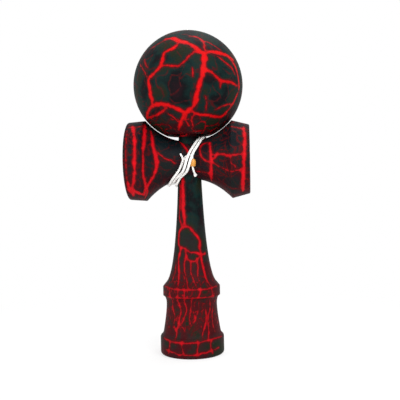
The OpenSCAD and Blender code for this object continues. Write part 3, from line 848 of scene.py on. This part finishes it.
add_ticks("collar", COLLAR_TICKS_PX, COLLAR_ROWS_PX, 1)
add_ticks("ring", RING_TICKS_PX, RING_ROWS_PX, -1)
print("cracks placed by eye:", len(BALL_CRACKS) + len(CROSS_CRACKS) + len(HANDLE_CRACKS))

# %% [markdown]
# ## A map of the distance to the nearest crack
# Every vertex gets one number: how far it is from the edge of the nearest crack, below zero inside it.
# A distance stays sharp between vertices, where a painted colour would blur. A KDTree finds the
# nearest points quickly, and a noise makes widths and edges ragged.

# %% Points, nearness and noise
def mesh_points(piece):
    points = np.empty(len(piece.data.vertices) * 3)
    piece.data.vertices.foreach_get("co", points)
    normals = np.empty(len(points))
    piece.data.vertices.foreach_get("normal", normals)
    return points.reshape(-1, 3) / MM, normals.reshape(-1, 3)


def facing(points, normals):
    """1 where a surface looks straight at the camera, 0 at its edge, below 0 behind."""
    to_eye = np.array(eye) / MM - points
    return (normals * to_eye).sum(axis=1) / np.linalg.norm(to_eye, axis=1)


def tree_of(points):
    tree = KDTree(len(points))
    for i, p in enumerate(points):
        tree.insert(p, i)
    tree.balance()
    return tree


def ragged(points, size, seed):
    return np.array([noise.noise(Vector(p / size + seed)) for p in points])


string_look = facing(*mesh_points(string_winding))
print("wound string:", round(float((string_look > 0).mean()) * 100), "% of its points face the camera")

# %% [markdown]
# ## Cracks sent through the camera
# The cracks could be drawn on an unwrapped map, but each would then have to be found again on the map.
# Through the camera, each picture point lands on the vertex that the camera meets first there. A crack
# swells and thins along its way and tapers towards its ends.

# %% Traced cracks
NEAR_PX, SEEN, ROUTE_STEPS, ROUTE_SMOOTHINGS = 1.3, 0.02, 8, 2
END_SHARE, END_WIDTH_SHARE, WIDTH_SWING, WIDTH_WAVE = 0.18, 0.6, 0.55, 3.5


def first_met(finder, pixel, depth):
    """The vertex that the camera meets first near a pixel."""
    found = finder.find_range(pixel, NEAR_PX)
    return min((k for _, k, _ in found), key=lambda k: depth[k]) if found else finder.find(pixel)[1]


def traced(cracks, points, look, slimmer):
    """Crack points on the surface, with their half widths and the number of their route."""
    seen = np.flatnonzero(look > SEEN)
    flat = to_pixels(points[seen])
    depth = (points[seen] - np.array(eye) / MM) @ np.array(ahead)
    finder = tree_of(np.column_stack([flat, np.zeros(len(flat))]))
    spots, halves, routes = [], [], []
    for number, (width, route) in enumerate(cracks.values()):
        path = smooth_route([(x, y, 0) for x, y in route], ROUTE_STEPS)
        along = np.linspace(0, 1, len(path))
        from_end = np.clip(np.minimum(along, 1 - along) / END_SHARE, 0, 1)
        taper = END_WIDTH_SHARE + (1 - END_WIDTH_SHARE) * from_end
        line = np.array([points[seen[first_met(finder, p, depth)]] for p in path])
        for _ in range(ROUTE_SMOOTHINGS):
            line[1:-1] = (line[:-2] + 2 * line[1:-1] + line[2:]) / 4
        spots.append(line)
        halves.append(slimmer * width / 2 * taper * (1 + WIDTH_SWING * ragged(line, WIDTH_WAVE, 0)))
        routes.append(np.full(len(line), number))
    return np.vstack(spots), np.concatenate(halves), np.concatenate(routes)


all_routes = [route for cracks in (BALL_CRACKS, CROSS_CRACKS, HANDLE_CRACKS) for _, route in cracks.values()]
print("picture points to send through the camera:", sum(len(route) for route in all_routes))

# %% [markdown]
# ## How far it is to a traced crack
# The distance is measured to the line between a crack's points, and not to the points, which would
# show as beads on a thin crack. Where two cracks meet, the corner between them is rounded, because the
# shrinking coat pulls back from it.

# %% Distance to the traced cracks
WEB, NEIGHBOURS, TINY = 1.6, 14, 1e-9


def past_edge(points, near, spots, halves, routes):
    """Distance from points to the edge of the crack line that runs through their near spots."""
    edge = np.linalg.norm(points - spots[near], axis=1) - halves[near]
    for step in (-1, 1):
        then = np.clip(near + step, 0, len(spots) - 1)
        way = spots[then] - spots[near]
        share = ((points - spots[near]) * way).sum(axis=1) / np.maximum((way ** 2).sum(axis=1), TINY)
        share = np.where(routes[then] == routes[near], np.clip(share, 0, 1), 0)
        half = halves[near] + (halves[then] - halves[near]) * share
        edge = np.minimum(edge, np.linalg.norm(points - spots[near] - way * share[:, None], axis=1) - half)
    return edge


def webbed(points, spots, halves, routes):
    """Distance to the nearest crack edge, rounded where two cracks meet."""
    finder = tree_of(spots)
    near = np.empty((len(points), 2), int)
    for i, p in enumerate(points):
        found = [k for _, k, _ in finder.find_n(p, NEIGHBOURS)]
        near[i] = found[0], next((k for k in found if routes[k] != routes[found[0]]), found[0])
    first = past_edge(points, near[:, 0], spots, halves, routes)
    second = past_edge(points, near[:, 1], spots, halves, routes)
    apart = np.where(near[:, 0] == near[:, 1], WEB, abs(first - second))
    return np.minimum(first, second) - np.clip(1 - apart / WEB, 0, 1) ** 2 * WEB / 4


print("where cracks meet, the coat's corners pull back by up to", WEB / 4, "mm")

# %% [markdown]
# ## Cracks on the other sides
# Where the camera doesn't reach, the cracks follow the borders of scattered cells, as dried mud does. A
# Voronoi texture has the same borders, but the coat's shape needs them as a number on each vertex. Seeds
# are drawn evenly over the surface, each border gets a width by chance, and some borders are left whole.

# %% Cell borders
CELLS_PER_AREA, LEAST_WIDTH_SHARE, MORE_WIDTH_SHARE = 1.3, 0.45, 1.1
CHANCES, LOW_STEP, HIGH_STEP = 997, 31, 17


def scattered(piece, points, cell, seed):
    """Vertices drawn evenly over the surface, about one for each cell."""
    area = np.zeros(len(points))
    for face in piece.data.polygons:
        area[list(face.vertices)] += face.area / MM ** 2 / len(face.vertices)
    count = int(CELLS_PER_AREA * area.sum() / cell ** 2)
    drawn = np.random.default_rng(seed).choice(len(points), count, replace=False, p=area / area.sum())
    return points[drawn]


def cell_borders(points, seeds, width, keep, seed):
    """Distance to the borders between cells round the seeds. Some borders are left out."""
    keep = np.broadcast_to(keep, len(points))
    finder = tree_of(seeds)
    chances = np.random.default_rng(seed).random((CHANCES,))
    edge = np.empty(len(points))
    for i, p in enumerate(points):
        (a, ia, da), (b, ib, db) = finder.find_n(p, 2)
        chance = chances[(min(ia, ib) * LOW_STEP + max(ia, ib) * HIGH_STEP) % CHANCES]
        cracked = width * (LEAST_WIDTH_SHARE + MORE_WIDTH_SHARE * chance)
        wide = cracked if chance < keep[i] else -width
        edge[i] = (db ** 2 - da ** 2) / (2 * (a - b).length) - wide / 2
    return edge


print("the narrowest borders are", LEAST_WIDTH_SHARE, "of the width that a piece asks for")

# %% [markdown]
# ## All cracks of a piece
# Large cells fill what the camera can't see, and fade out where the traced cracks take over. Fine cells
# give the hairlines, which each piece asks for with a share from 0 to 1. Two noises roughen all edges.

# %% All cracks of a piece
INSIDE, CUP_EDGE = 1, 0.3
WAVE_SIZE, WAVE_REACH, WAVE_SEEDS = 5.0, 2.2, (1, 2, 3)
LARGE_KEEP, HAIR_KEEP, HAIR_KEEP_MORE, HAIR_WIDTH_SHARE, HAIR_WIDEN = 0.9, 0.3, 0.5, 0.4, 0.12
EDGE_LOOK, EDGE_FADE, LARGE_LESS, HAIR_LESS, FINE_SEED = 0.25, 0.3, 3, 0.9, 5
RAGS = ((1.7, 0.32, 7), (0.6, 0.16, 9))


def covered(points):
    """True on the spike, down the ball's hole and in the three cups, which the camera can't see."""
    x, y, z = points.T
    in_ball = np.linalg.norm(points - [0, 0, BALL_Z], axis=1) < BALL_R - INSIDE
    cup_r = np.where(x < 0, BIG_CUP_R, SMALL_CUP_R)
    in_cup = (abs(x) > HALF_LEN - BIG_CUP_DEPTH - INSIDE) & (np.hypot(y, z - CROSS_Z) < cup_r + CUP_EDGE)
    under = (z < BASE_CUP_DEPTH + INSIDE) & (np.hypot(x, y) < BASE_CUP_R + CUP_EDGE)
    return in_ball | in_cup | under


def crack_edges(piece, points, normals, cracks, hairs, cell, width, seed, slimmer, stretch):
    look = facing(points, normals)
    by_eye = webbed(points, *traced(cracks, points, look, slimmer))
    wave = np.stack([ragged(points, WAVE_SIZE, seed + k) for k in WAVE_SEEDS], axis=1)
    bent = (points + wave * WAVE_REACH) / stretch
    large = cell_borders(bent, scattered(piece, points, cell, seed) / stretch, width, LARGE_KEEP, seed)
    fine_seeds = scattered(piece, points, cell / 2, seed + 1) / stretch
    fine_keep = HAIR_KEEP + HAIR_KEEP_MORE * hairs
    fine = cell_borders(bent, fine_seeds, width * HAIR_WIDTH_SHARE, fine_keep, seed + FINE_SEED)
    fine = fine - HAIR_WIDEN * hairs
    hidden = np.where(covered(points), 1, np.clip((EDGE_LOOK - look) / EDGE_FADE, 0, 1))
    seeded = np.minimum(large + (1 - hidden) * LARGE_LESS, fine + (1 - hidden) * HAIR_LESS * (1 - hairs))
    edge = np.minimum(by_eye, seeded)
    for size, reach, rag_seed in RAGS:
        edge = edge + reach * ragged(points, size, seed + rag_seed)
    return edge


print("edges are ragged by up to", sum(reach for _, reach, _ in RAGS), "mm")

# %% [markdown]
# ## Laying the coat
# A bump in the material could shade the coat's edges, but the mesh would stay smooth. So the black coat
# is real geometry: it stands a tenth of a millimetre proud of the red one and slopes down to it at each
# crack. Bare wood gets no coat. The distance is stored as an attribute for the material.

# %% The black coat
COAT, CRACK_SLOPE = 0.1, 0.5


def crack(piece, cracks, hairs, cell, width, seed, slimmer, stretch=(1, 1, 1)):
    """Lays the black coat on a piece, torn at the cracks, and stores the distance to their edges."""
    points, normals = mesh_points(piece)
    edge = crack_edges(piece, points, normals, cracks, hairs(points), cell, width, seed, slimmer,
                       np.array(stretch))
    sunk = np.clip(0.5 - edge / CRACK_SLOPE, 0, 1)
    coat = COAT * (1 - sunk * sunk * (3 - 2 * sunk))
    for face in piece.data.polygons:
        if face.material_index:
            coat[list(face.vertices)] = 0
    points = points + normals * coat[:, None]
    points[:, 2] = np.maximum(points[:, 2], 0)
    piece.data.vertices.foreach_set("co", (points * MM).ravel())
    stored = piece.data.attributes.new("crack_edge", "FLOAT", "POINT")
    stored.data.foreach_set("value", edge.astype(np.float32))
    piece.data.update()
    print(piece.name, "is cracked over", round(float((edge < 0).mean()) * 100), "% of its points")


print("coat:", COAT, "mm thick")

# %% [markdown]
# ## Crackle paint
# The black coat is satin, nearly black, with a breath of green and wine red in clouds. Low on each
# piece it turns towards wine red in clouds, more the lower it is. The edge of the black coat
# is thin, so it turns wine red before it tears, and a bump from the same distance gives it a raised
# lip. The red is brightest in the middle of a wide crack. An image could hold all this, but a few nodes
# stay sharp from any distance.

# %% Crackle material
FRAY_SCALE, FRAY_REACH, CLOUD_SCALE, CLOUD_DETAIL, UNDER_SCALE = 2600.0, 0.34, 95.0, 4.0, 180.0
TEAR, THIN, BRIGHT = (-0.1, 0.16), (0.05, 1.1), (-0.75, 0.1)
BLUSH_MOST, BLUSH_CLOUDS, LIVELY_SWING, LIVELY_LEAST = 0.9, (0.62, 0.4), 0.7, 0.55
RED_ROUGH, BLACK_ROUGH, PAINT_SPECULAR = 0.5, 0.55, 0.045
LIP_BUMP, LIP_DEPTH, SKIN_BUMP, SKIN_DEPTH = 0.5, 0.00012, 0.12, 0.0001
WINE, BLUSH, THIN_COAT = (0.14, 0.002, 0.004, 1), (0.045, 0.003, 0.005, 1), (0.055, 0.003, 0.004, 1)


def crackle(name, panels, red, blush_z):
    material, nodes, shader = new_material(name)
    edge = nodes.add("ShaderNodeAttribute", attribute_name="crack_edge").outputs["Fac"]
    fray = nodes.noise(FRAY_SCALE)
    frayed = nodes.calc("MULTIPLY_ADD", nodes.calc("SUBTRACT", fray, 0.5), FRAY_REACH, edge)
    coat = nodes.span(frayed, *TEAR, kind="SMOOTHSTEP")
    thick = nodes.span(frayed, *THIN, kind="SMOOTHSTEP")
    cloud = nodes.noise(CLOUD_SCALE, CLOUD_DETAIL)
    height = nodes.add("ShaderNodeSeparateXYZ", {0: nodes.place()}).outputs["Z"]
    low = nodes.span(height, blush_z[0] * MM, blush_z[1] * MM, (BLUSH_MOST, 0.0))
    blush = nodes.calc("MULTIPLY", low, nodes.span(cloud, *BLUSH_CLOUDS))
    black = nodes.mix(thick, THIN_COAT, nodes.mix(blush, nodes.ramp(cloud, panels), BLUSH))
    lively = nodes.calc("MULTIPLY_ADD", nodes.noise(UNDER_SCALE), LIVELY_SWING, LIVELY_LEAST)
    bright = nodes.calc("MULTIPLY", nodes.span(frayed, *BRIGHT, (1.0, 0.0)), lively)
    lip = nodes.bump(coat, LIP_BUMP, LIP_DEPTH)
    nodes.feed(shader, {
        "Base Color": nodes.mix(coat, nodes.mix(bright, WINE, red), black),
        "Roughness": nodes.span(coat, 0.0, 1.0, (RED_ROUGH, BLACK_ROUGH)),
        "Normal": nodes.bump(fray, SKIN_BUMP, SKIN_DEPTH, Normal=lip),
        "Specular IOR Level": PAINT_SPECULAR})
    print("made", name, "with", len(nodes.tree.nodes), "nodes")
    return material


# %% [markdown]
# ## Three coats of paint
# All three pieces have the same paint, but it differs a little from piece to piece: the ball's red is
# the purest, the other two lean to crimson, and the cross-piece's black is a little bluer.

# %% Three coats of paint
RED, CRIMSON = (0.53, 0.002, 0.003, 1), (0.5, 0.003, 0.008, 1)
PANELS = [(0.3, (0.010, 0.004, 0.006)), (0.4, (0.003, 0.004, 0.005)), (0.5, (0.003, 0.014, 0.013)),
          (0.62, (0.010, 0.013, 0.007))]
BLUE_PANELS = [(0.3, (0.008, 0.004, 0.007)), (0.4, (0.003, 0.004, 0.006)), (0.5, (0.003, 0.008, 0.010)),
               (0.62, (0.008, 0.010, 0.010))]
BALL_BLUSH_RISES, CROSS_BLUSH_RISES, HANDLE_BLUSH_Z = (-28, -14), (-25, 8), (45, 75)
ball_blush_z = [BALL_Z + rise for rise in BALL_BLUSH_RISES]
cross_blush_z = [CROSS_Z + rise for rise in CROSS_BLUSH_RISES]
BALL_PAINT = crackle("ball_crackle_paint", PANELS, RED, ball_blush_z)
CROSS_PAINT = crackle("cross_piece_crackle_paint", BLUE_PANELS, CRIMSON, cross_blush_z)
HANDLE_PAINT = crackle("handle_crackle_paint", PANELS, CRIMSON, HANDLE_BLUSH_Z)

# %% [markdown]
# ## Bare wood and lacquered beads
# Paint doesn't reach down the ball's hole or into the cross-piece's bore, so there the beech shows, with
# its rings drawn by a wave that a noise bends. The same wood makes the plain bead inside the ball. The
# bead at the front is lacquered orange.

# %% Wood and bead materials
RINGS = {"Scale": 260.0, "Distortion": 3.0, "Detail": 3.0}
BEECH_DARK, BEECH_PALE, BEECH_ROUGH = (0.42, 0.25, 0.12, 1), (0.56, 0.36, 0.19, 1), 0.6
GRAIN_BUMP, GRAIN_DEPTH = 0.15, 0.0001
ORANGE_DARK, ORANGE_PALE = (0.47, 0.18, 0.02, 1), (0.62, 0.29, 0.05, 1)
ORANGE_ROUGH, LACQUER_SCALE = 0.35, 900.0


def beech():
    material, nodes, shader = new_material("bare_beech")
    wave = nodes.add("ShaderNodeTexWave", {"Vector": nodes.place(), **RINGS}, bands_direction="X")
    grain = wave.outputs["Fac"]
    nodes.feed(shader, {"Base Color": nodes.mix(grain, BEECH_DARK, BEECH_PALE), "Roughness": BEECH_ROUGH,
                        "Normal": nodes.bump(grain, GRAIN_BUMP, GRAIN_DEPTH)})
    return material


def orange_lacquer():
    material, nodes, shader = new_material("orange_lacquer")
    tone = nodes.mix(nodes.noise(LACQUER_SCALE), ORANGE_DARK, ORANGE_PALE)
    nodes.feed(shader, {"Base Color": tone, "Roughness": ORANGE_ROUGH})
    return material


BEECH, ORANGE = beech(), orange_lacquer()
print("made", BEECH.name, "and", ORANGE.name)

# %% [markdown]
# ## Beads
# A bead is a small barrel with a hole, so the lathe turns it too.

# %% Beads
BEAD_FLAT_SHARE, BEAD_CLEARANCE, BEAD_STEPS, BEAD_GRID = 0.64, 0.25, 24, (90, 72)


def bead(name, node, cord, material, body):
    low, high = node_box(node)
    outer, height = (high[0] - low[0]) / 2, high[2] - low[2]
    hole_r = cord / 2 + BEAD_CLEARANCE
    q = np.linspace(-math.pi / 2, math.pi / 2, BEAD_STEPS)
    flat = outer * BEAD_FLAT_SHARE
    barrel = np.stack([flat + (outer - flat) * np.cos(q), height / 2 + height / 2 * np.sin(q)], axis=1)
    outline = np.vstack([[(hole_r, 0)], barrel, [(hole_r, height), (hole_r, 0)]])
    made = turned_piece(name, outline, BEAD_GRID, material)
    middle = (low + high) / 2
    made.data.transform(Matrix.Translation(Vector((middle[0], middle[1], low[2])) * MM))
    settle(made, node, body)
    return made


front_bead = bead("orange_front_bead", "front_bead", TAIL_D, ORANGE, "handle")
inner_bead = bead("plain_inner_bead", "ball_bead", STRING_D, BEECH, "string_end")

# %% [markdown]
# ## The stretch behind the ball
# The wound turns stay on the handle. The stretch behind the ball is tied to both the handle and the
# ball, so it rides on neither here: its foot is taken, and its place is baked into its mesh.

BLEND_ABOVE, BLEND_END_Z = 2.0, 140.0
riser_foot = tuple(riser_route[0] * MM)
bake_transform(string_riser)
print("riser is drawn out between", round(riser_foot[2] / MM + BLEND_ABOVE, 1), "and", BLEND_END_Z, "mm")

# %% [markdown]
# ## The ball
# The ball is turned with its spike hole and string hole in one go, then cracked. The faces down the
# hole get the bare wood. Hairlines are few, and thicken towards the underside.

# %% Ball
BALL_GRID, HOLE_WALL, HOLE_TOP = (300, 330), 0.05, 0.1
BALL_HAIR_DROP, BALL_HAIR_FADE, BALL_HAIRS = 14, 8, (0.35, 0.8)


def ball_hairs(points):
    return np.clip((BALL_Z - BALL_HAIR_DROP - points[:, 2]) / BALL_HAIR_FADE, *BALL_HAIRS)


ball = turned_piece("ball_painted", ball_outline(), BALL_GRID, BALL_PAINT)
ball.data.materials.append(BEECH)
for face in ball.data.polygons:
    spot = face.center / MM
    from_axis = math.hypot(spot.x, spot.y)
    in_string_hole = from_axis < BALL_STRING_R + HOLE_WALL
    if from_axis < BALL_HOLE_R + HOLE_WALL and (spot.z < HOLE_END_Z + HOLE_TOP or in_string_hole):
        face.material_index = 1
crack(ball, BALL_CRACKS, ball_hairs, cell=11.0, width=1.5, seed=11, slimmer=1.0)
settle(ball, "tama", "ball")

# %% [markdown]
# ## The handle
# The handle's cracks run mostly along the grain, so its cells are stretched along its axis. Hairlines
# are dense from the ring up to the foot of the stem, and the stem itself is nearly clean.

# %% Handle
HANDLE_GRID, ALONG_GRAIN = (400, 240), (1, 1, 1.6)
HAIRS_FROM_Z, HAIRS_TO_Z, HANDLE_HAIR_FADE, HANDLE_HAIRS = 9, 50, 9, (0, 0.78)


def handle_hairs(points):
    z = points[:, 2]
    return np.clip(np.minimum(z - HAIRS_FROM_Z, HAIRS_TO_Z - z) / HANDLE_HAIR_FADE, *HANDLE_HAIRS)


handle = turned_piece("handle_painted", handle_outline(), HANDLE_GRID, HANDLE_PAINT)
crack(handle, HANDLE_CRACKS, handle_hairs, cell=6.5, width=0.9, seed=23, slimmer=0.55, stretch=ALONG_GRAIN)
settle(handle, "ken", "handle")

# %% [markdown]
# ## The cross-piece
# The cross-piece is turned round its own length and then laid on its side. A boolean drills the bore for
# the handle and the string's hole before the paint cracks, so the cracks run up to the holes' edges. It
# can leave edges of no length, which are collapsed afterwards.

# %% Drill
DRILL_SIDES, SLIVER = 96, 0.0000002


def drill(piece, start, end, radius_start, radius_end):
    """Cuts a round, tapered hole from one point to another."""
    start, end = Vector(start), Vector(end)
    cutter = bpy.data.meshes.new("cutter")
    edit_mesh(cutter, lambda shape: bmesh.ops.create_cone(
        shape, cap_ends=True, segments=DRILL_SIDES, radius1=radius_start * MM, radius2=radius_end * MM,
        depth=(end - start).length * MM))
    cutter.materials.append(BEECH)
    aim = (end - start).to_track_quat("Z", "Y").to_matrix().to_4x4()
    cutter.transform(Matrix.Translation((start + end) / 2 * MM) @ aim)
    drill_bit = new_object("drill_bit", cutter)
    cut = piece.modifiers.new("bore", "BOOLEAN")
    cut.operation, cut.object, cut.solver, cut.material_mode = "DIFFERENCE", drill_bit, "EXACT", "TRANSFER"
    bpy.context.view_layer.update()
    drilled = bpy.data.meshes.new_from_object(piece.evaluated_get(bpy.context.evaluated_depsgraph_get()))
    edit_mesh(drilled, lambda shape: bmesh.ops.dissolve_degenerate(shape, edges=shape.edges, dist=SLIVER))
    piece.modifiers.clear()
    piece.data = drilled
    bpy.data.objects.remove(drill_bit)
    print(piece.name, "after drilling:", len(drilled.polygons), "faces")


print("drill:", DRILL_SIDES, "sides")

# %% [markdown]
# ## Turning and drilling the cross-piece
# The bore tapers as the handle does there. Hairlines are densest towards the two rims.

# %% Cross-piece
CROSS_GRID, BORE_MID_R, BORE_SLOPE, BORE_REACH, CORD_HOLE_R = (320, 290), 6.14, 0.0291, 24.0, 1.6
HAIRS_FROM_X, CROSS_HAIR_FADE, CROSS_HAIRS = 12, 10, (0.35, 0.6)


def cross_hairs(points):
    return np.clip((abs(points[:, 0]) - HAIRS_FROM_X) / CROSS_HAIR_FADE, *CROSS_HAIRS)


cross_piece = turned_piece("cross_piece_painted", cross_outline(), CROSS_GRID, CROSS_PAINT)
on_its_side = Matrix(((0, 0, 1, 0), (0, 1, 0, 0), (-1, 0, 0, CROSS_Z * MM), (0, 0, 0, 1)))
cross_piece.data.transform(on_its_side)
drill(cross_piece, (0, 0, CROSS_Z - BORE_REACH), (0, 0, CROSS_Z + BORE_REACH),
      BORE_MID_R + BORE_SLOPE * BORE_REACH, BORE_MID_R - BORE_SLOPE * BORE_REACH)
drill(cross_piece, (START_X, 0, CROSS_Z), (START_X, -BORE_REACH, CROSS_Z), CORD_HOLE_R, CORD_HOLE_R)
crack(cross_piece, CROSS_CRACKS, cross_hairs, cell=9.0, width=1.2, seed=37, slimmer=0.76)
settle(cross_piece, "sarado", "handle")

# %% [markdown]
# ## Finish
